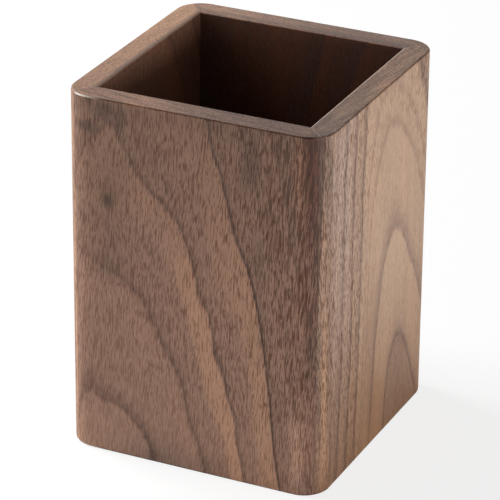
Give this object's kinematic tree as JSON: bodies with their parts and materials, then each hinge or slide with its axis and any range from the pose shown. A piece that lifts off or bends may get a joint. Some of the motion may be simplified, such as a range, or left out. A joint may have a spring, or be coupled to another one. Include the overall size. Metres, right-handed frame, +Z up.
{
  "type": "pencil cup",
  "caption": "Square wooden pencil cup with rounded upright corners, mitred solid walls and a recessed base panel; stands on a desk and holds pens and pencils upright.",
  "frame": {"origin": "on the desk, under the middle of the cup", "axes": "+Z up out of the mouth; -Y is the front wall and +X the right wall; all four sides are alike in shape"},
  "size_m": [0.08, 0.08, 0.11],
  "materials": {
    "walnut": "sanded, oiled to a low satin"
  },
  "bodies": {
    "root": {"front_wall": "walnut", "right_wall": "walnut", "back_wall": "walnut", "left_wall": "walnut", "base_panel": "walnut"}
  },
  "joints": []
}
